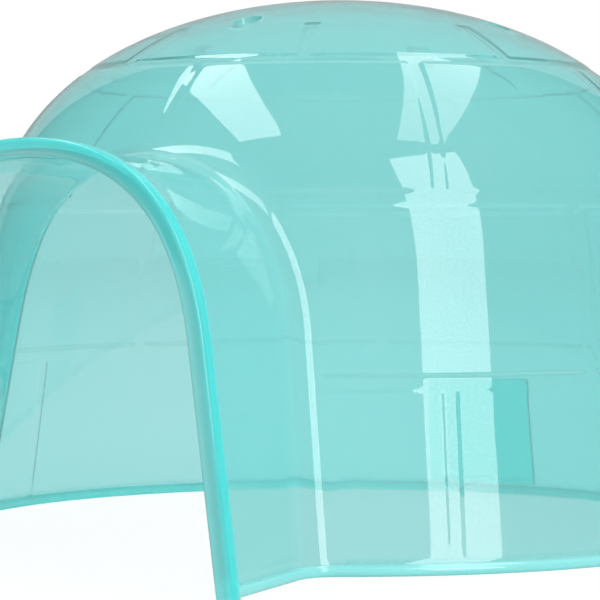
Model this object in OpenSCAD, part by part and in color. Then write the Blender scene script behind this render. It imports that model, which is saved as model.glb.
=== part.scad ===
// Rodent house: an igloo of clear tinted plastic, with an arched porch.
// All sizes are in millimetres. The floor is z = 0, and the porch looks along -Y.

/* [Dome] */
// Radius of the foot bead, which is the widest part of the dome
base_r = 110; // [100:1:125]
// Height of the crown over the floor
height = 145; // [138:1:160]
// Height at which the straight wall turns into the crown
spring_z = 72.5; // [60:0.5:80]
// Lean of the straight wall from upright, in degrees
lean = 8.6; // [5:0.1:11]
// Fullness of the crown, where 2 is an ellipse and more is squarer
crown_n = 2.9; // [2.5:0.1:3.5]
// Thickness of the moulded wall
wall = 2.2; // [1.8:0.1:3]
// Height of the bead round the foot
bead_h = 2.4; // [1.8:0.1:5]
// How far the bead stands out from the wall
bead_out = 0.8; // [0.4:0.1:1.6]

/* [Snow blocks] */
// Height of the middle of the lower mortar line
seam_1 = 45.4; // [40:0.1:50]
// Height of the middle of the upper mortar line
seam_2 = 89.8; // [84:0.1:94]
// How far the middle of the line round the roof lies under the crown
roof_drop = 19.9; // [17:0.1:24]
// Width of a mortar line
line_w = 3.8; // [2:0.1:5]
// Depth of a mortar line
line_d = 0.3; // [0.2:0.05:0.6]
// How far the edges of a mortar line slope back
line_edge = 0.6; // [0.2:0.1:0.8]
// Blocks in one full course
blocks = 8; // [6:1:10]
// How far the upright joints of the roof reach above its line
roof_joint = 9; // [5:0.5:12]

/* [Porch] */
// Distance from the axis of the dome to the front of the porch
porch_l = 144.5; // [136:0.5:155]
// Half the width of the doorway at the floor
door_half = 51.6; // [44:0.1:56]
// Height of the doorway
door_h = 98.7; // [90:0.1:102]
// Height at which the legs turn into the arch
leg_z = 57; // [45:0.5:65]
// Lean of the legs from upright, in degrees
splay = 7.6; // [3:0.1:10]
// How far the arch goes on along the line of the leg
shoulder = 27; // [22:0.5:32]
// How far the arch stays flat on each side of its top
brow = 27; // [24:0.5:34]
// Reach of the hollow curve from the porch on to the dome
blend = 6; // [4:0.5:9]
// How much further in each side of the porch is at the dome than at the doorway
narrow = 5.5; // [0:0.5:7]
// How much lower the top of the porch is at the dome than at the doorway
dip = 1.7; // [0:0.1:3]

/* [Doorway lip] */
// Width of the lip round the doorway
lip_w = 4.6; // [4:0.1:7]
// Thickness of the lip, front to back
lip_t = 4.4; // [2.4:0.1:6]
// Rounding of the edges of the lip
lip_r = 1; // [0.5:0.1:1.1]

/* [Vents and panel] */
// Number of vents in the roof
vents = 4; // [2:1:6]
// Diameter of a vent
vent_d = 7.8; // [5:0.1:10]
// Distance of a vent from the axis of the dome
vent_r = 48; // [30:0.5:54]
// Width of the plain panel at the back
panel_w = 34; // [20:1:40]
// Height of the top of the panel over the floor
panel_top = 36.3; // [25:0.1:40]
// How far the panel stands out from the blocks
panel_t = 1; // [0.6:0.1:1.6]
// Turn of the middle of the panel from straight behind, in degrees
panel_turn = 5; // [-8:0.5:8]

/* [Hidden] */
$fn = 120;
CROWN_STEPS = 20;
LEG_STEPS = 3;
ARCH_STEPS = 14;
BLEND_STEPS = 5;
EDGE_STEPS = 3;
foot_r = base_r - bead_out;
seam_3 = height - roof_drop;
back_shift = (porch_l - base_r) / 2;
pitch = 360 / blocks;
cut_q = wall + blend;
tube_l = porch_l - lip_t;
lean_k = tan(lean);
splay_k = tan(splay);

// Radius of the dome at height z, on a surface that lies d under the outer one
function dome_r(z, d = 0) =
    let (r = foot_r - d - lean_k * z, t = (z - spring_z) / (height - d - spring_z))
    t <= 0 ? r : t >= 1 ? 0 : r * sqrt(1 - pow(t, crown_n));

// Heights at which the curve of the dome has a point, from za to zb
function levels(za, zb, d = 0) = concat(
    [za],
    [for (i = [0 : CROWN_STEPS])
        let (z = spring_z + (height - d - spring_z) * sin(90 * i / CROWN_STEPS))
        if (z > za + 0.3 && z < zb - 0.3) z],
    [zb]);

// Outline of the dome from za to zb on the surface d under the outer one
function dome_line(za, zb, d = 0) = [for (z = levels(za, zb, d)) [dome_r(z, d), z]];

function flip(list) = [for (i = [len(list) - 1 : -1 : 0]) list[i]];

// Half the height of a mortar line, which is less where the wall slopes
function line_half(z) =
    let (slope = (dome_r(z - 0.5) - dome_r(z + 0.5)))
    line_w / 2 / sqrt(1 + slope * slope);

// One course of blocks up to a mortar line, from another line or from a plain foot
module course(za, zb, low_line = true) {
    ha = line_half(za);
    hb = line_half(zb);
    rotate([0, 0, -90])
        rotate_extrude()
            polygon(concat(
                low_line ? dome_line(za, za + ha, line_d) : [],
                dome_line(low_line ? za + ha + line_edge : za, zb - hb - line_edge),
                dome_line(zb - hb, zb, line_d),
                flip(dome_line(za, zb, wall))));
}

// One upright joint of a course, cut as deep as a mortar line
module joint(za, zb, turn) {
    wide = line_w / dome_r((za + zb) / 2) * 180 / PI;
    rotate([0, 0, turn - 90 - wide / 2])
        rotate_extrude(angle = wide)
            polygon(concat(
                dome_line(za, zb, line_d),
                flip([for (z = levels(za, zb, line_d)) [dome_r(z, line_d) + 2, z]])));
}

// Point t of the curve with the four handles p
function curve(p, t) =
    pow(1 - t, 3) * p[0] + 3 * t * pow(1 - t, 2) * p[1]
    + 3 * t * t * (1 - t) * p[2] + pow(t, 3) * p[3];

// Right half of the arch, q outside the porch's room, from height z0 up to its top.
// It is the arch at the doorway where s is 0 and the arch at the dome where s is 1.
function half_arch(q, z0, s = 0) =
    let (half = door_half - narrow * s + q, top = door_h - dip * s + q,
        foot = half - splay_k * leg_z, grow = 0.55 * q,
        handles = [
            [foot, leg_z],
            [foot - (shoulder + grow) * sin(splay), leg_z + (shoulder + grow) * cos(splay)],
            [brow + grow - narrow * s, top],
            [0, top]])
    concat(
        [for (i = [0 : LEG_STEPS - 1])
            let (z = z0 + (leg_z - z0) * i / LEG_STEPS) [half - splay_k * z, z]],
        [for (i = [0 : ARCH_STEPS]) curve(handles, i / ARCH_STEPS)]);

// Whole arch, from the right foot over the top to the left foot
function arch(q, z0, s = 0) =
    let (right = half_arch(q, z0, s), n = len(right))
    concat(right, [for (i = [n - 2 : -1 : 0]) [-right[i][0], right[i][1]]]);

// Place on the front of the dome, d under its surface, over a point of an arch
function front_y(p, d) = -sqrt(max(0, pow(dome_r(p[1], d), 2) - p[0] * p[0]));

// The hollow curve from an arch qa on to the dome at arch qb, at the point i of both:
// it leaves the porch along its wall and ends along the surface of the dome
function blend_y(qa, qb, d, z0, i, t) =
    let (end = arch(qb, z0, 1)[i], near = arch(qb - 0.5, z0, 1)[i],
        y2 = front_y(end, d),
        y1 = y2 - (qb - qa) * (y2 - front_y(near, d)) / 0.5,
        y0 = y1 - norm([qb - qa, y2 - y1]))
    pow(1 - t, 2) * y0 + 2 * t * (1 - t) * y1 + t * t * y2;

// Skin over rings of points, closed round each ring and capped at both ends
module skin(rings) {
    m = len(rings[0]);
    n = len(rings);
    polyhedron(
        points = [for (r = rings) each r],
        faces = concat(
            [[for (j = [m - 1 : -1 : 0]) j]],
            [for (i = [0 : n - 2], j = [0 : m - 1])
                let (a = i * m + j, b = i * m + (j + 1) % m) each [[a, b, b + m], [a, b + m, a + m]]],
            [[for (j = [0 : m - 1]) (n - 1) * m + j]]));
}

// One side of the porch wall over the point i of the arch: its front, and the hollow curve
function wall_line(qa, d, z0, i) =
    let (y2 = front_y(arch(cut_q, z0, 1)[i], d), p = arch(qa, z0)[i])
    concat(
        [[p[0], -tube_l, p[1]]],
        [for (k = [0 : BLEND_STEPS])
            let (t = k / BLEND_STEPS,
                y = blend_y(qa, cut_q, d, z0, i, t),
                b = arch(qa + (cut_q - qa) * t * t, z0, (y + tube_l) / (y2 + tube_l))[i])
            [b[0], y, b[1]]]);

// Sections of the porch wall, one for each point of the arch, from foot to foot
function porch_rings(qa, z0, out = 0) =
    [for (i = [0 : len(arch(0, z0)) - 1])
        concat(wall_line(wall + out, -out, z0, i), flip(wall_line(qa, wall, z0, i)))];

// Room that the porch takes out of the dome
module porch_room() {
    line = arch(cut_q, -2, 1);
    rotate([90, 0, 0])
        linear_extrude(height = base_r + 5)
            polygon(line);
}

module roof_cap() {
    color("turquoise")
        translate([0, back_shift, 0])
            difference() {
                h = line_half(seam_3);
                rotate_extrude()
                    polygon(concat(
                        dome_line(seam_3, seam_3 + h, line_d),
                        dome_line(seam_3 + h + line_edge, height),
                        flip(dome_line(seam_3, height - wall, wall))));
                for (k = [0 : blocks - 1])
                    joint(seam_3 + h, seam_3 + h + roof_joint, (k + 0.5) * pitch);
                for (k = [0 : vents - 1])
                    rotate([0, 0, k * 360 / vents - 90])
                        translate([vent_r, 0, seam_3])
                            cylinder(d = vent_d, h = height);
            }
}

module upper_course() {
    h2 = line_half(seam_2);
    h3 = line_half(seam_3);
    color("mediumturquoise")
        translate([0, back_shift, 0])
            difference() {
                course(seam_2, seam_3);
                for (k = [0 : blocks - 1])
                    joint(seam_2 + h2, seam_3 - h3, k * pitch);
                porch_room();
            }
}

module middle_course() {
    h1 = line_half(seam_1);
    h2 = line_half(seam_2);
    color("turquoise")
        translate([0, back_shift, 0])
            difference() {
                course(seam_1, seam_2);
                for (k = [1 : blocks - 2])
                    joint(seam_1 + h1, seam_2 - h2, (k + 0.5) * pitch);
                porch_room();
            }
}

module lower_course() {
    h1 = line_half(seam_1);
    color("mediumturquoise")
        translate([0, back_shift, 0])
            difference() {
                course(bead_h, seam_1, low_line = false);
                for (k = [1 : blocks - 1])
                    if (k != blocks / 2)
                        joint(bead_h, seam_1 - h1, k * pitch);
                porch_room();
            }
}

module foot_bead() {
    inner_q = -splay_k * bead_h;
    rings = porch_rings(inner_q, 0, bead_out);
    right = [for (p = rings[0]) [p[0], p[1]]];
    stop = door_half - narrow + cut_q;
    color("darkturquoise")
        translate([0, back_shift, 0]) {
            difference() {
                rotate_extrude()
                    polygon([
                        [dome_r(bead_h, wall), 0],
                        [base_r - 0.4, 0],
                        [base_r, 0.6],
                        [base_r, bead_h - 0.8],
                        [base_r - 0.4, bead_h],
                        [dome_r(bead_h, wall), bead_h]]);
                translate([-stop, -base_r - 5, -1])
                    cube([2 * stop, base_r + 5, bead_h + 2]);
            }
            linear_extrude(height = bead_h)
                polygon(right);
            mirror([1, 0, 0])
                linear_extrude(height = bead_h)
                    polygon(right);
        }
}

module porch() {
    color("paleturquoise")
        translate([0, back_shift, 0])
            skin(porch_rings(0, bead_h));
}

module doorway_lip() {
    turn = [for (k = [0 : EDGE_STEPS]) 90 * k / EDGE_STEPS];
    far = lip_w - lip_r;
    section = concat(
        [[0, lip_t]],
        [for (a = turn) [lip_r - lip_r * cos(a), lip_r - lip_r * sin(a)]],
        [for (a = turn) [far + lip_r * sin(a), lip_r - lip_r * cos(a)]],
        [for (a = turn) [far + lip_r * cos(a), lip_t - lip_r + lip_r * sin(a)]]);
    lines = [for (p = section) arch(p[0], 0)];
    n = len(lines[0]);
    color("darkturquoise")
        translate([0, back_shift - porch_l, 0])
            skin([for (i = [0 : n - 1])
                [for (j = [len(section) - 1 : -1 : 0])
                    [lines[j][i][0], section[j][1], lines[j][i][1]]]]);
}

module back_panel() {
    wide = panel_w / dome_r(panel_top) * 180 / PI;
    color("lightseagreen")
        translate([0, back_shift, 0])
            rotate([0, 0, 90 + panel_turn - wide / 2])
                rotate_extrude(angle = wide)
                    polygon(concat(
                        dome_line(bead_h, panel_top),
                        flip(dome_line(bead_h, panel_top, -panel_t))));
}

roof_cap();
upper_course();
middle_course();
lower_course();
foot_bead();
porch();
doorway_lip();
back_panel();
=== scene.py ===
import math

import bmesh
import bpy
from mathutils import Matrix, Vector


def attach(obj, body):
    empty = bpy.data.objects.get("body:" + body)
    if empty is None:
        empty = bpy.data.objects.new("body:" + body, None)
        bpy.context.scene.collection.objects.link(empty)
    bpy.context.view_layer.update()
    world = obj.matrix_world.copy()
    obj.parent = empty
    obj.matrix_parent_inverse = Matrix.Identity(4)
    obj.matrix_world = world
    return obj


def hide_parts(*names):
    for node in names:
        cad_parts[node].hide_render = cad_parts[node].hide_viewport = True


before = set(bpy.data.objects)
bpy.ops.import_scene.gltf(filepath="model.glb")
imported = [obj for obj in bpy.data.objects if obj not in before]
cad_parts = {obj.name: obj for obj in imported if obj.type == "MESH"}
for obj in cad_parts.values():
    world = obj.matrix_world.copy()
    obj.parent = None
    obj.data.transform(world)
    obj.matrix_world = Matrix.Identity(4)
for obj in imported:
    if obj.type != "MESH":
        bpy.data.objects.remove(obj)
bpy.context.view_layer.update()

# Sizes of the shelter in millimetres, the same as in the part's source, apart from the
# depth of a mortar line, which shows strongly enough at half of the source's
BASE_R, HEIGHT, SPRING_Z, CROWN_N = 110.0, 145.0, 72.5, 2.9
LEAN = math.tan(math.radians(8.6))
WALL = 2.2
FOOT_R = BASE_R - 0.8
BEAD_H = 2.4
SEAMS = (45.4, 89.8, 125.1)
LINE_D = 0.15
LINE_HALF = 1.9
PITCH = 45.0
ROOF_JOINT = 9.0
PORCH_L = 144.5
DOOR_HALF, DOOR_H, LEG_Z = 51.6, 98.7, 57.0
SPLAY = math.radians(7.6)
SHOULDER, BROW = 27.0, 27.0
BLEND = 6.0
CUT_Q = WALL + BLEND
NARROW, DIP = 5.5, 1.7
LIP_W, LIP_T = 4.6, 4.4
VENT_D, VENT_R = 7.8, 48.0
PANEL_W, PANEL_TOP, PANEL_T, PANEL_TURN = 34.0, 36.3, 1.0, 5.0
BACK = (PORCH_L - BASE_R) / 2
MM = 0.001
# Distances from the middle of a mortar line to its soft edge, and to the loops that hold it.
# The loops up to PRESSED are pressed into the wall.
GROOVE = (0.8, 1.65, 2.15, 2.7, 3.6)
PRESSED = 1.75
# Radius at which the dome is spun with loops at these distances from each upright joint, and
# joint places round the dome, two to a block
SPIN_R = 100.0
PLACES = 16
# How much longer the handles of the arch get for each millimetre that it lies further out
GROW = 0.55
# Distance outside the doorway past which a point is on the lip and no longer on the wall
LIP_SIDE = 3.0
# Room across and up in which the whole cut for the porch lies
CUT_ROOM = (63.0, 110.0)
# Height past which there is only the roof, and height of the middle of the vent cutters
ROOF_Z, VENT_Z = 120.0, SEAMS[2] + 16.0
# Points closer than this are made one, after the spin and on the rim of the cut
SPIN_MERGE, RIM_MERGE = 0.02 * MM, 0.15 * MM
# How much of the thick look the foot, the vents' walls and the inner side of the lip take,
# where 1 is
# the outer side of the lip: partly real milkiness, partly painted glow of light carried to the
# edges
THICK_GLOW_SHARE = 0.5
# Height in metres of the point that the lamps aim at
AIM_Z = 0.07


def dome_r(z, deep=0.0):
    """Radius of the dome at a height, on a surface that lies deep under the outer one."""
    r = FOOT_R - deep - LEAN * z
    t = (z - SPRING_Z) / (HEIGHT - deep - SPRING_Z)
    if t <= 0:
        return r
    return r * math.sqrt(1 - t ** CROWN_N) if t < 1 else 0.0


def drop(z):
    """Part of a step along the wall that goes into height, which is less where it slopes."""
    slope = dome_r(z - 0.5) - dome_r(z + 0.5)
    return 1 / math.sqrt(1 + slope * slope)


def roof_joint_end():
    """Height at which the short upright joints of the roof end."""
    return SEAMS[2] + ROOF_JOINT + LINE_HALF * drop(SEAMS[2])


def wall_levels(deep=0.0):
    """Heights of the loops of the wall, closer where it curves and beside mortar lines."""
    rise = HEIGHT - deep - SPRING_Z
    plain = [4.4 + 4.6 * i for i in range(15)]
    plain += [SPRING_Z + rise * math.sin(math.radians(2.5 * i)) for i in range(36)]
    if deep:
        return plain
    lines = [s + side * g * drop(s) for s in SEAMS for side in (-1, 1) for g in GROOVE]
    lines += [roof_joint_end() + step for step in (-0.5, -0.15, 0.05, 0.4)]
    kept = [z for z in plain if all(abs(z - m) > 0.75 for m in lines)]
    kept = [z for z in kept if all(abs(z - s) > GROOVE[-1] * drop(s) for s in SEAMS)]
    return sorted(kept + lines)


def half_arch(q, turn, s=0.0):
    """Place across and up on the right half of the arch, q outside the porch's room. A turn
    under 0 is that height on the leg less its full height, and 0 to 1 runs over the arch.
    It is the arch at the doorway where s is 0 and the arch at the dome where s is 1."""
    foot = DOOR_HALF - NARROW * s - math.tan(SPLAY) * LEG_Z + q
    top = DOOR_H - DIP * s + q
    if turn < 0:
        return foot - math.tan(SPLAY) * turn, LEG_Z + turn
    grow = GROW * q
    reach = SHOULDER + grow
    handles = ((foot, LEG_Z), (foot - reach * math.sin(SPLAY), LEG_Z + reach * math.cos(SPLAY)),
               (BROW + grow - NARROW * s, top), (0.0, top))
    share = ((1 - turn) ** 3, 3 * turn * (1 - turn) ** 2, 3 * turn ** 2 * (1 - turn), turn ** 3)
    return tuple(sum(part * handle[i] for part, handle in zip(share, handles))
                 for i in (0, 1))


def turn_at(x, z):
    """Where on the arch of the doorway's cut a point across and up lies."""
    if z <= LEG_Z:
        return z - LEG_Z
    aim = math.atan2(z - LEG_Z, abs(x))
    low, high = 0.0, 1.0
    for _ in range(40):
        mid = (low + high) / 2
        px, pz = half_arch(CUT_Q, mid, 1)
        low, high = (mid, high) if math.atan2(pz - LEG_Z, px) < aim else (low, mid)
    return (low + high) / 2


def front_y(point, deep):
    """Place of the front of the dome over a point of an arch."""
    return -math.sqrt(max(0.0, dome_r(point[1], deep) ** 2 - point[0] ** 2))


def blend_y(qa, deep, turn, t):
    """Place on the hollow curve that runs from the porch, t = 0, on to the dome, t = 1."""
    step = 0.5
    end, near = half_arch(CUT_Q, turn, 1), half_arch(CUT_Q - step, turn, 1)
    y2 = front_y(end, deep)
    y1 = y2 - (CUT_Q - qa) * (y2 - front_y(near, deep)) / step
    y0 = y1 - math.hypot(CUT_Q - qa, y2 - y1)
    return (1 - t) ** 2 * y0 + 2 * t * (1 - t) * y1 + t * t * y2


def start(name):
    """A new mesh of one point, open in edit mode."""
    bpy.ops.object.select_all(action="DESELECT")
    bpy.ops.mesh.primitive_plane_add(size=0.01, location=(0, 0, 0))
    made = bpy.context.object
    made.name = made.data.name = name
    bpy.ops.object.mode_set(mode="EDIT")
    bpy.ops.mesh.select_mode(type="VERT")
    bpy.ops.mesh.merge(type="CENTER")
    return made


def trace(points):
    """Draws on from the selected point through a row of places in metres."""
    here = Vector((0, 0, 0))
    for i, point in enumerate(points):
        step = Vector(point) - here
        if i:
            bpy.ops.mesh.extrude_region_move(TRANSFORM_OT_translate={"value": step})
        else:
            bpy.ops.transform.translate(value=step)
        here = Vector(point)


def choose(obj, wanted, kind="VERT"):
    """Selects the points or faces of the open mesh for which wanted(item) is true."""
    bpy.ops.mesh.select_mode(type=kind)
    bpy.ops.mesh.select_all(action="DESELECT")
    mesh = bmesh.from_edit_mesh(obj.data)
    mesh.normal_update()
    for item in (mesh.verts if kind == "VERT" else mesh.faces):
        if wanted(item):
            item.select_set(True)
    mesh.select_flush_mode()
    bmesh.update_edit_mesh(obj.data)


def cut(obj, tool):
    """Takes the tool's room out of a piece and clears the tool away."""
    bpy.ops.object.select_all(action="DESELECT")
    obj.select_set(True)
    bpy.context.view_layer.objects.active = obj
    change = obj.modifiers.new("cut", "BOOLEAN")
    change.operation, change.solver, change.object = "DIFFERENCE", "EXACT", tool
    bpy.ops.object.modifier_apply(modifier=change.name)
    bpy.data.objects.remove(tool, do_unlink=True)


def polar(place):
    """Distance from the axis and azimuth of a place, in mm and degrees from the doorway."""
    x, y = place.x / MM, place.y / MM - BACK
    return math.hypot(x, y), math.degrees(math.atan2(x, -y)) % 360


def draw_dome():
    """The shell: a profile from the crown over the foot and up inside, spun round."""
    obj = start("igloo_shell")
    bead = [(dome_r(BEAD_H + 0.6), BEAD_H + 0.6), (FOOT_R + 0.1, BEAD_H),
            (BASE_R - 0.3, BEAD_H - 0.2), (BASE_R, BEAD_H - 0.7), (BASE_R, 0.6),
            (BASE_R - 0.25, 0.15), (BASE_R - 0.7, 0.0), (dome_r(0, WALL), 0.0)]
    outer = [(dome_r(z), z) for z in reversed(wall_levels())]
    inner = [(dome_r(z, WALL), z) for z in wall_levels(WALL)]
    path = [(0.0, HEIGHT)] + outer + bead + inner + [(0.0, HEIGHT - WALL)]
    trace([(0.0, (BACK - r) * MM, z * MM) for r, z in path])
    bpy.ops.mesh.select_all(action="SELECT")
    # From the middle of the doorway, each joint place is crossed in small steps
    near = [g * 180 / math.pi / SPIN_R for g in GROOVE]
    edges = near + [near[-1] + (PITCH / 2 - 2 * near[-1]) * i / 8 for i in range(1, 8)]
    edges += [PITCH / 2 - a for a in reversed(near)]
    stops = [PITCH / 2 * k + a for k in range(PLACES) for a in edges] + [360.0]
    at = 0.0
    for stop in stops:
        bpy.ops.mesh.spin(steps=1, angle=math.radians(stop - at), use_auto_merge=False,
                          center=(0, BACK * MM, 0), axis=(0, 0, 1))
        at = stop
    bpy.ops.mesh.select_all(action="SELECT")
    bpy.ops.mesh.remove_doubles(threshold=SPIN_MERGE)
    bpy.ops.mesh.normals_make_consistent(inside=False)
    return obj


def keep_widths(obj):
    """Turns the loops beside each joint so that the joint keeps its width up the dome."""
    bpy.ops.object.mode_set(mode="OBJECT")
    edge = GROOVE[-1] * 180 / math.pi / SPIN_R
    half = PITCH / 4
    middle, least, most = 2.0, 0.9, 1.9
    for point in obj.data.vertices:
        r, az = polar(point.co)
        if r < middle:
            continue
        k = min(most, max(least, SPIN_R / r))
        nearest = round(az / half / 2) * half * 2
        off = az - nearest
        u = abs(off)
        new = u * k if u <= edge else edge * k + (u - edge) * (half - edge * k) / (half - edge)
        turn = math.radians(nearest + math.copysign(new, off))
        point.co.x = r * math.sin(turn) * MM
        point.co.y = (BACK - r * math.cos(turn)) * MM
    obj.data.update()
    bpy.ops.object.mode_set(mode="EDIT")


def in_groove(point):
    """True for a point of the outer wall at the bottom of a mortar line or a joint."""
    z = point.co.z / MM
    r, az = polar(point.co)
    if z < BEAD_H + 1 or r < dome_r(z, WALL / 2):
        return False
    if any(abs(z - s) < PRESSED * drop(s) for s in SEAMS):
        return True
    place = round(az / PITCH * 2) % PLACES
    off = abs(az - place * PITCH / 2)
    if math.radians(min(off, 360 - off)) * r > PRESSED:
        return False
    # No joint runs into the doorway or into the plain panel opposite
    if z < SEAMS[0]:
        return place % 2 == 0 and place not in (0, 8)
    if z < SEAMS[1]:
        return place % 2 == 1 and place not in (1, 15)
    if z < SEAMS[2]:
        return place % 2 == 0
    return place % 2 == 1 and z < roof_joint_end() - 0.1


def press_blocks(obj):
    """Presses the mortar lines into the outer wall."""
    choose(obj, in_groove)
    bpy.ops.transform.shrink_fatten(value=-LINE_D * MM)


def draw_panel():
    """The plain panel at the back: a thicker sheet bent round the wall, with soft edges."""
    obj = start("back_panel_plate")
    low, off_wall, soft_edge = BEAD_H + 0.7, 0.04, 0.35
    levels = [low + (PANEL_TOP - low) * i / 8 for i in range(9)]
    path = [(dome_r(z, -off_wall), z) for z in levels]
    path += [(dome_r(z, -PANEL_T), z) for z in reversed(levels)]
    wide = PANEL_W / dome_r(PANEL_TOP)
    first = math.radians(180 + PANEL_TURN) + wide / 2
    trace([(r * math.sin(first) * MM, (BACK - r * math.cos(first)) * MM, z * MM)
           for r, z in path])
    bpy.ops.mesh.select_all(action="SELECT")
    bpy.ops.mesh.edge_face_add()
    bpy.ops.mesh.spin(steps=24, angle=wide, center=(0, BACK * MM, 0), axis=(0, 0, 1))
    bpy.ops.mesh.select_all(action="SELECT")
    bpy.ops.mesh.normals_make_consistent(inside=False)
    bpy.ops.object.mode_set(mode="OBJECT")
    soft = obj.modifiers.new("soft_edges", "BEVEL")
    soft.width, soft.segments, soft.limit_method = soft_edge * MM, 3, "ANGLE"
    soft.angle_limit = math.radians(50)
    bpy.ops.object.modifier_apply(modifier=soft.name)
    bpy.ops.object.shade_smooth_by_angle(angle=math.radians(40))
    return obj


def cut_doorway(obj):
    """Cuts the wall on the line of the arch, where the porch will be drawn out."""
    tool = start("arch_cutter")
    under, past = 2.0, 5.0
    turns = [-(LEG_Z + under) * (1 - i / 12) for i in range(12)]
    turns += [i / 40 for i in range(41)]
    right = [half_arch(CUT_Q, t, 1) for t in turns]
    whole = right + [(-x, z) for x, z in reversed(right[:-1])]
    trace([(x * MM, BACK * MM, z * MM) for x, z in whole])
    bpy.ops.mesh.select_all(action="SELECT")
    bpy.ops.mesh.edge_face_add()
    bpy.ops.mesh.extrude_region_move(
        TRANSFORM_OT_translate={"value": (0, -(BASE_R + past) * MM, 0)})
    bpy.ops.mesh.select_all(action="SELECT")
    bpy.ops.mesh.normals_make_consistent(inside=False)
    bpy.ops.object.mode_set(mode="OBJECT")
    cut(obj, tool)


def cut_face(face):
    """True for a face that the arch cutter left between the outer and the inner wall."""
    place = face.calc_center_median() / MM
    wide, tall = CUT_ROOM
    return (abs(face.normal.y) < 0.02 and place.y < 0 and place.z < tall
            and abs(place.x) < wide and max(p.co.z for p in face.verts) > 0.1 * MM)


# Section of the lip: how far outside the doorway, and how far behind its front
LIP_OUT = [(WALL, LIP_T + 1.2), (WALL, LIP_T + 0.7), (WALL + 0.15, LIP_T + 0.2),
           (WALL + 0.5, LIP_T), (3.1, LIP_T), (LIP_W - 1.0, LIP_T),
           (LIP_W - 0.5, LIP_T - 0.13), (LIP_W - 0.13, LIP_T - 0.5), (LIP_W, LIP_T - 1.0),
           (LIP_W, 1.0), (LIP_W - 0.13, 0.5), (LIP_W - 0.5, 0.13), (LIP_W - 1.0, 0.0),
           (LIP_W - 1.4, 0.0)]
LIP_IN = [(0.0, 1.0 + (LIP_T + 0.2) * i / 9) for i in range(9, -1, -1)]
LIP_IN += [(0.13, 0.5), (0.5, 0.13), (1.0, 0.0), (1.4, 0.0)]


def draw_porch(obj):
    """Draws the cut rim through the hollow curve, the porch and the lip, and closes it."""
    bpy.ops.object.mode_set(mode="EDIT")
    choose(obj, cut_face, "FACE")
    bpy.ops.mesh.delete(type="FACE")

    def rim():
        """Selects the open edges."""
        bpy.ops.mesh.select_mode(type="EDGE")
        bpy.ops.mesh.select_all(action="DESELECT")
        bpy.ops.mesh.select_non_manifold(
            extend=False, use_wire=False, use_boundary=True, use_multi_face=False,
            use_non_contiguous=False, use_verts=False)

    rim()
    bpy.ops.mesh.remove_doubles(threshold=RIM_MERGE)
    rim()
    known = {}
    for point in bmesh.from_edit_mesh(obj.data).verts:
        if point.select:
            x, z = point.co.x / MM, point.co.z / MM
            r, az = polar(point.co)
            outside = r > dome_r(z, WALL / 2)
            out = max(0.0, r - dome_r(z)) if outside and z < BEAD_H + 0.5 else 0.0
            known[tuple(point.co)] = (outside, turn_at(x, z), out, math.copysign(1, x))

    def place(facts, kind, *at):
        """Place of a point of the rim on a ring of the blend, the tube or the lip."""
        outside, turn, out, side = facts
        qa = WALL + out if outside else 0.0
        deep = -out if outside else WALL
        if kind == "blend":
            q, y = qa + (CUT_Q - qa) * at[0] ** 2, blend_y(qa, deep, turn, at[0])
        elif kind == "tube":
            q = qa
            y = blend_y(qa, deep, turn, 0) * (1 - at[0]) + (LIP_OUT[0][1] - PORCH_L) * at[0]
        else:
            q, back = (LIP_OUT if outside else LIP_IN)[at[0]]
            q, y = max(q, qa) if outside and q < LIP_SIDE else q, back - PORCH_L
        front = LIP_T - PORCH_L
        share = (y - front) / (front_y(half_arch(CUT_Q, turn, 1), deep) - front)
        x, z = half_arch(q, turn, max(0.0, share))
        return Vector((side * x, BACK + y, z)) * MM

    rings = [("blend", 1 - i / 9) for i in range(1, 10)]
    rings += [("tube", 0.1), ("tube", 0.4), ("tube", 0.7), ("tube", 0.95)]
    rings += [("lip", i) for i in range(len(LIP_OUT))]
    for ring in rings:
        bpy.ops.mesh.extrude_edges_move()
        mesh = bmesh.from_edit_mesh(obj.data)
        moved = {}
        for point in mesh.verts:
            if point.select:
                facts = known[tuple(point.co)]
                point.co = place(facts, *ring)
                moved[tuple(point.co)] = facts
        if len(moved) != len(known):
            raise ValueError("two points of the rim met at %s" % (ring,))
        known = moved
        bmesh.update_edit_mesh(obj.data)
    bpy.ops.mesh.edge_face_add()
    bpy.ops.mesh.select_all(action="SELECT")
    bpy.ops.mesh.normals_make_consistent(inside=False)
    bpy.ops.object.mode_set(mode="OBJECT")


def vent_places():
    """Places of the four vents, in millimetres."""
    return [(VENT_R * math.sin(math.pi / 2 * k), BACK - VENT_R * math.cos(math.pi / 2 * k))
            for k in range(4)]


def cut_vents(obj):
    """Cuts the round air vents through the roof."""
    for x, y in vent_places():
        bpy.ops.object.select_all(action="DESELECT")
        bpy.ops.mesh.primitive_cylinder_add(
            vertices=48, radius=VENT_D / 2 * MM, depth=0.03,
            location=(x * MM, y * MM, VENT_Z * MM))
        tool = bpy.context.object
        bpy.ops.object.transform_apply(location=True, rotation=True, scale=True)
        cut(obj, tool)


def linear(colour):
    """An sRGB hex colour as the linear values that a shader wants."""
    parts = [int(colour[i:i + 2], 16) / 255 for i in (1, 3, 5)]
    return tuple(p / 12.92 if p <= 0.04045 else ((p + 0.055) / 1.055) ** 2.4
                 for p in parts) + (1.0,)


def add(tree, kind, links=None, **settings):
    """Adds a node, sets its own settings and its sockets, and links what comes in."""
    made = tree.nodes.new(kind)
    for name, value in settings.items():
        setattr(made, name, value)
    for socket, value in (links or {}).items():
        if isinstance(value, bpy.types.NodeSocket):
            tree.links.new(value, made.inputs[socket])
        else:
            made.inputs[socket].default_value = value
    return made


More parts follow.
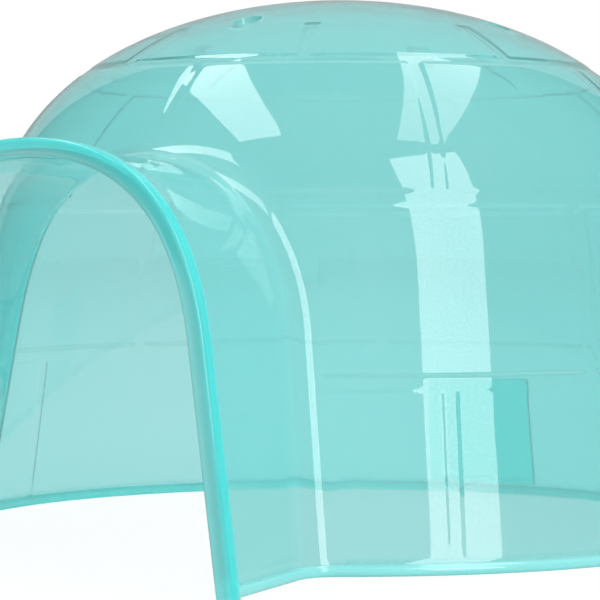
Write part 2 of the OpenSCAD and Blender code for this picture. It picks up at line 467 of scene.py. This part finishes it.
def tinted_polystyrene(name, red_loss, pale, clear_share):
    """Clear polystyrene tinted aqua, moulded in a polished steel mould: a wet gloss, faint
    flow marks that make reflections swim a little, and colour that deepens with thickness.
    The share that is not clear is a slight milkiness. At the lip, the foot and the vents' walls
    a brighter, deeper aqua is partly real milkiness of thick plastic and partly a painted glow
    of the light that the clear plastic carries to its edges."""
    made = bpy.data.materials.new(name)
    made.use_nodes = True
    tree = made.node_tree
    tree.nodes.clear()
    place = add(tree, "ShaderNodeTexCoord")
    # Flow waves about 36 mm long, and handling marks about 2.4 mm across
    flow = add(tree, "ShaderNodeTexNoise", {"Vector": place.outputs["Object"],
               "Scale": 28.0, "Detail": 2.0, "Roughness": 0.4})
    handling = add(tree, "ShaderNodeTexNoise", {"Vector": place.outputs["Object"],
                   "Scale": 420.0, "Detail": 3.0, "Roughness": 0.6})
    rough = add(tree, "ShaderNodeMapRange", {"Value": handling.outputs["Fac"],
                "From Min": 0.35, "From Max": 0.75, "To Min": 0.015, "To Max": 0.05})
    bump = add(tree, "ShaderNodeBump", {"Height": flow.outputs["Fac"],
               "Strength": 0.1, "Distance": 0.001})
    # Painted glow: where marked thick (lip, foot, vents' walls) the plastic turns a brighter,
    # deeper aqua and less clear, partly real milkiness and partly painted light carried to its
    # edges
    thick = add(tree, "ShaderNodeAttribute", attribute_name="thick")
    colour = add(tree, "ShaderNodeMix", {0: thick.outputs["Fac"], 6: linear(pale),
                 7: linear("#6ef5f4")}, data_type="RGBA")
    clear = add(tree, "ShaderNodeMapRange", {"Value": thick.outputs["Fac"],
                "From Max": 0.5, "To Min": clear_share, "To Max": 0.42})
    plastic = add(tree, "ShaderNodeBsdfPrincipled", {
        "Base Color": colour.outputs[2], "Roughness": rough.outputs["Result"],
        "IOR": 1.59, "Transmission Weight": clear.outputs["Result"],
        "Normal": bump.outputs["Normal"]})
    # Light that only passes through leaves a pale shadow
    light_path = add(tree, "ShaderNodeLightPath")
    shade = add(tree, "ShaderNodeBsdfTransparent", {"Color": linear("#dae6e5")})
    mix = add(tree, "ShaderNodeMixShader", {0: light_path.outputs["Is Shadow Ray"],
              1: plastic.outputs[0], 2: shade.outputs[0]})
    tint = add(tree, "ShaderNodeVolumeAbsorption",
               {"Color": linear("#00fcfa"), "Density": red_loss})
    add(tree, "ShaderNodeOutputMaterial", {"Surface": mix.outputs[0],
        "Volume": tint.outputs[0]})
    return made


def studio_white(name, colour, glow):
    """Matt white paper, which the camera also sees by its own faint glow. Through the plastic
    it glows less, and least under and close to the object, which paints a faint shade under it."""
    made = bpy.data.materials.new(name)
    made.use_nodes = True
    tree = made.node_tree
    tree.nodes.clear()
    light_path = add(tree, "ShaderNodeLightPath")
    through = add(tree, "ShaderNodeMath", {0: light_path.outputs["Is Glossy Ray"],
                  1: light_path.outputs["Is Transmission Ray"]}, operation="MAXIMUM")
    place = add(tree, "ShaderNodeTexCoord")
    away = add(tree, "ShaderNodeVectorMath", {0: place.outputs["Object"]},
               operation="LENGTH")
    # Painted shade: seen through the plastic, the paper glows less within 0.1 m of the object,
    # rising out to 0.2 m
    painted_shade_near_object = add(tree, "ShaderNodeMapRange", {"Value": away.outputs["Value"],
                     "From Min": 0.1, "From Max": 0.2, "To Min": 0.45, "To Max": 0.5})
    through = add(tree, "ShaderNodeMath", {0: through.outputs[0],
                  1: painted_shade_near_object.outputs["Result"]}, operation="MULTIPLY")
    seen = add(tree, "ShaderNodeMath", {0: light_path.outputs["Is Camera Ray"],
               1: through.outputs[0]}, operation="MAXIMUM")
    paper = add(tree, "ShaderNodeBsdfDiffuse", {"Color": linear(colour)})
    lift = add(tree, "ShaderNodeMath", {0: seen.outputs[0], 1: glow}, operation="MULTIPLY")
    light = add(tree, "ShaderNodeEmission", {"Strength": 1.08})
    both = add(tree, "ShaderNodeMixShader", {0: lift.outputs[0], 1: paper.outputs[0],
               2: light.outputs[0]})
    add(tree, "ShaderNodeOutputMaterial", {"Surface": both.outputs[0]})
    return made


def softbox(name, wide, tall, power):
    """A large soft lamp that is seen only as a reflection, still to be placed."""
    lamp = bpy.data.lights.new(name, "AREA")
    lamp.shape, lamp.size, lamp.size_y, lamp.energy = "RECTANGLE", wide, tall, power
    holder = bpy.data.objects.new(name, lamp)
    bpy.context.scene.collection.objects.link(holder)
    holder.visible_camera = holder.visible_transmission = False
    return holder


def aimed_softbox(name, azimuth, elevation, away, wide, tall, power):
    """A softbox that faces the object, its azimuth counted from the doorway to the right."""
    holder = softbox(name, wide, tall, power)
    a, e = math.radians(azimuth), math.radians(elevation)
    way = Vector((math.sin(a) * math.cos(e), -math.cos(a) * math.cos(e), math.sin(e)))
    holder.location = way * away + Vector((0, 0, AIM_Z))
    holder.rotation_euler = way.to_track_quat("Z", "Y").to_euler()


def flat_softbox(name, x, y, wide, long, turn, power, height=3.0):
    """A long softbox over the object that faces straight down. Its place across is given
    for a height of 1 m."""
    holder = softbox(name, long, wide, power)
    holder.location = (x * height, y * height, height + AIM_Z)
    holder.rotation_euler = (0, 0, math.radians(turn))


def light_studio():
    """Even pale light all round, dim in reflections, three softboxes and a paper floor."""
    world = bpy.data.worlds.new("pale_studio")
    world.use_nodes = True
    tree = world.node_tree
    tree.nodes.clear()
    light_path = add(tree, "ShaderNodeLightPath")
    # Seen through the plastic, the air behind matches the floor far away
    through = add(tree, "ShaderNodeMath", {0: light_path.outputs["Is Transmission Ray"],
                  1: 0.72}, operation="MULTIPLY")
    seen = add(tree, "ShaderNodeMath", {0: light_path.outputs["Is Camera Ray"],
               1: through.outputs[0]}, operation="MAXIMUM")
    level = add(tree, "ShaderNodeMapRange", {"Value": light_path.outputs["Is Glossy Ray"],
                "To Min": 0.75, "To Max": 0.03})
    level = add(tree, "ShaderNodeMath", {0: level.outputs["Result"], 1: seen.outputs[0]},
                operation="MAXIMUM")
    light = add(tree, "ShaderNodeBackground", {"Color": (1, 1, 1, 1),
                "Strength": level.outputs[0]})
    add(tree, "ShaderNodeOutputWorld", {"Surface": light.outputs[0]})
    bpy.context.scene.world = world
    aimed_softbox("tall_softbox", azimuth=65, elevation=27, away=3.3, wide=1.25, tall=2.6,
                  power=42)
    flat_softbox("right_overhead_softbox", x=0.325, y=0.175, wide=0.84, long=3.3,
                 turn=127.7, power=24)
    flat_softbox("left_overhead_softbox", x=-0.357, y=-0.20, wide=0.72, long=3.1,
                 turn=119.3, power=28)

    bpy.ops.object.select_all(action="DESELECT")
    bpy.ops.mesh.primitive_grid_add(x_subdivisions=4, y_subdivisions=4, size=14,
                                    location=(0, 0, 0))
    floor = bpy.context.object
    floor.name = "studio_floor"
    floor.data.materials.append(studio_white("matt_white_paper", "#bcbcbc", 0.85))


def reflected_sheet(name, middle, across, wide, low, tall):
    """An upright sheet that only reflections show. It runs both ways from its middle along
    the direction across, and up from low. Its material is still to be made."""
    bpy.ops.object.select_all(action="DESELECT")
    bpy.ops.mesh.primitive_grid_add(x_subdivisions=2, y_subdivisions=2, size=1,
                                    location=(0, 0, 0))
    sheet = bpy.context.object
    sheet.name = name
    for point in sheet.data.vertices:
        along, up = point.co.x * wide, (point.co.y + 0.5) * tall
        point.co = (middle[0] + along * across[0], middle[1] + along * across[1], low + up)
    sheet.visible_camera = sheet.visible_diffuse = sheet.visible_transmission = False
    sheet.visible_shadow = False
    return sheet


def lit_sheet(name):
    """A new material for a lit sheet, with an empty node tree."""
    made = bpy.data.materials.new(name)
    made.use_nodes = True
    made.node_tree.nodes.clear()
    return made


def hang_backdrop():
    """A tall white sheet behind the object, which lifts the reflections on its back."""
    sheet = reflected_sheet("studio_backdrop", middle=(-2.0, 3.46), across=(-0.866, -0.5),
                            wide=5.0, low=0.0, tall=9.9)
    made = lit_sheet("lit_white_sheet")
    light = add(made.node_tree, "ShaderNodeEmission", {"Strength": 0.45})
    add(made.node_tree, "ShaderNodeOutputMaterial", {"Surface": light.outputs[0]})
    sheet.data.materials.append(made)


def stand_card():
    """A white card behind the camera, brightest in its middle. It greys the walls that
    face the camera and leaves the dome's edges deep."""
    middle, size = (2.31, -3.86, 0.1), 9.0
    card = reflected_sheet("studio_card", middle=middle[:2], across=(0.858, 0.514),
                           wide=size, low=middle[2] - size / 2, tall=size)
    made = lit_sheet("soft_white_card")
    tree = made.node_tree
    place = add(tree, "ShaderNodeTexCoord")
    away = add(tree, "ShaderNodeVectorMath", {0: place.outputs["Object"], 1: middle},
               operation="DISTANCE")
    fade = add(tree, "ShaderNodeMapRange", {"Value": away.outputs["Value"], "From Min": 0.6,
               "From Max": 4.4, "To Min": 0.75, "To Max": 0.0}, interpolation_type="SMOOTHSTEP")
    light = add(tree, "ShaderNodeEmission", {"Strength": fade.outputs["Result"]})
    add(tree, "ShaderNodeOutputMaterial", {"Surface": light.outputs[0]})
    card.data.materials.append(made)


def mark_thick_glow(obj):
    """Marks how far each point takes the thick look at the lip, the foot and a vent's wall:
    partly real milkiness, partly painted glow of light carried to the plastic's edges.
    """
    marks = obj.data.attributes.new("thick", "FLOAT", "POINT")
    front = BACK - PORCH_L
    for point, mark in zip(obj.data.vertices, marks.data):
        x, y, z = point.co / MM
        share = THICK_GLOW_SHARE * min(1.0, (BEAD_H + 0.5 - z) / 0.6)
        lip = min(1.0, front + LIP_T + 1.0 - y)
        if lip > 0:
            near_x, near_z = half_arch(0, turn_at(x, z))
            out = math.hypot(abs(x) - near_x, z - near_z) / LIP_W
            share = max(share, lip * (THICK_GLOW_SHARE + (1 - THICK_GLOW_SHARE) * min(1.0, out)))
        if z > ROOF_Z:
            near = min(math.hypot(x - vx, y - vy) for vx, vy in vent_places())
            share = max(share, THICK_GLOW_SHARE * min(1.0, (VENT_D / 2 + 0.2 - near) / 0.1))
        mark.value = min(1.0, max(0.0, share))


def set_camera():
    """The camera where the photograph was taken from, found from the foot and the outline."""
    data = bpy.data.cameras.new("photo_view")
    data.lens, data.sensor_width = 158.94, 36.0
    view = bpy.data.objects.new("photo_view", data)
    bpy.context.scene.collection.objects.link(view)
    view.location = (0.36674, -0.61796, 0.08118)
    view.rotation_euler = (math.radians(88.56), 0, math.radians(30.855))
    bpy.context.scene.camera = view


shell = draw_dome()
keep_widths(shell)
press_blocks(shell)
bpy.ops.object.mode_set(mode="OBJECT")
cut_doorway(shell)
draw_porch(shell)
cut_vents(shell)
bpy.ops.object.select_all(action="DESELECT")
shell.select_set(True)
bpy.context.view_layer.objects.active = shell
bpy.ops.object.shade_smooth_by_angle(angle=math.radians(60))
# Painted glow at the lip, the foot and the vents' walls, partly real milkiness
mark_thick_glow(shell)
shell.data.materials.clear()
shell.data.materials.append(tinted_polystyrene(
    "tinted_clear_polystyrene_moulded", 140.0, "#dbfafa", 0.87))
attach(shell, "root")
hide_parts(*[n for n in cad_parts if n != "back_panel"])
panel = draw_panel()
panel.data.materials.clear()
panel.data.materials.append(tinted_polystyrene(
    "tinted_clear_polystyrene_thick", 1800.0, "#f0ffff", 0.96))
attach(panel, "root")
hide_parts("back_panel")
set_camera()
light_studio()
hang_backdrop()
stand_card()

bpy.context.scene.view_settings.view_transform = "Standard"
bpy.context.view_layer.update()
